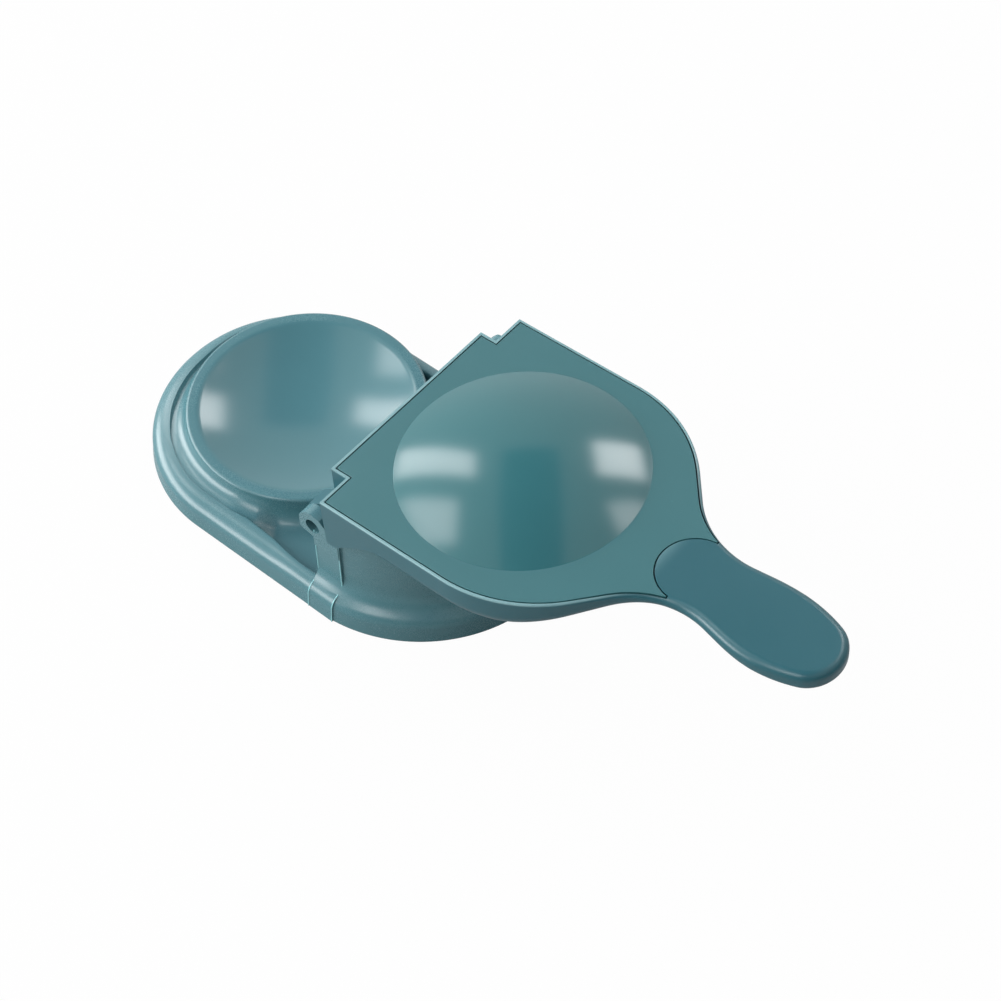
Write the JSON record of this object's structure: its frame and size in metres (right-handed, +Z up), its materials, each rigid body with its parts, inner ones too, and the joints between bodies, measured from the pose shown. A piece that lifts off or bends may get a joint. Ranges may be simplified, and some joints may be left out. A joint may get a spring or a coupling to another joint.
{
  "type": "empanada press",
  "caption": "Hand press for filled dough rounds: a moulded stand with a shallow dish and a hinged lid whose domed plate folds over onto it, worked by a flat handle.",
  "frame": {"origin": "on the plane of the table, straight under the middle of the hinge axis", "axes": "+X from the hinge towards the handle of the open lid, the dish lies towards -X; +Y along the hinge; +Z up from the table"},
  "size_m": [0.3018, 0.1202, 0.0739],
  "materials": {
    "stand_plastic": "satin moulded, polished dish",
    "lid_plastic": "satin moulded",
    "plate_plastic": "satin moulded, polished dome",
    "pin_steel": "plain drawn steel"
  },
  "bodies": {
    "stand": {"stand": "stand_plastic"},
    "lid": {"lid_shell": "lid_plastic", "press_plate": "plate_plastic", "hinge_pin_front": "pin_steel", "hinge_pin_rear": "pin_steel"}
  },
  "joints": [
    {"name": "lid_hinge", "type": "hinge", "parent": "stand", "child": "lid", "pos_m": [0, 0, 0.0414], "axis": [0, -1, 0], "range_deg": [0, 176.5]}
  ]
}
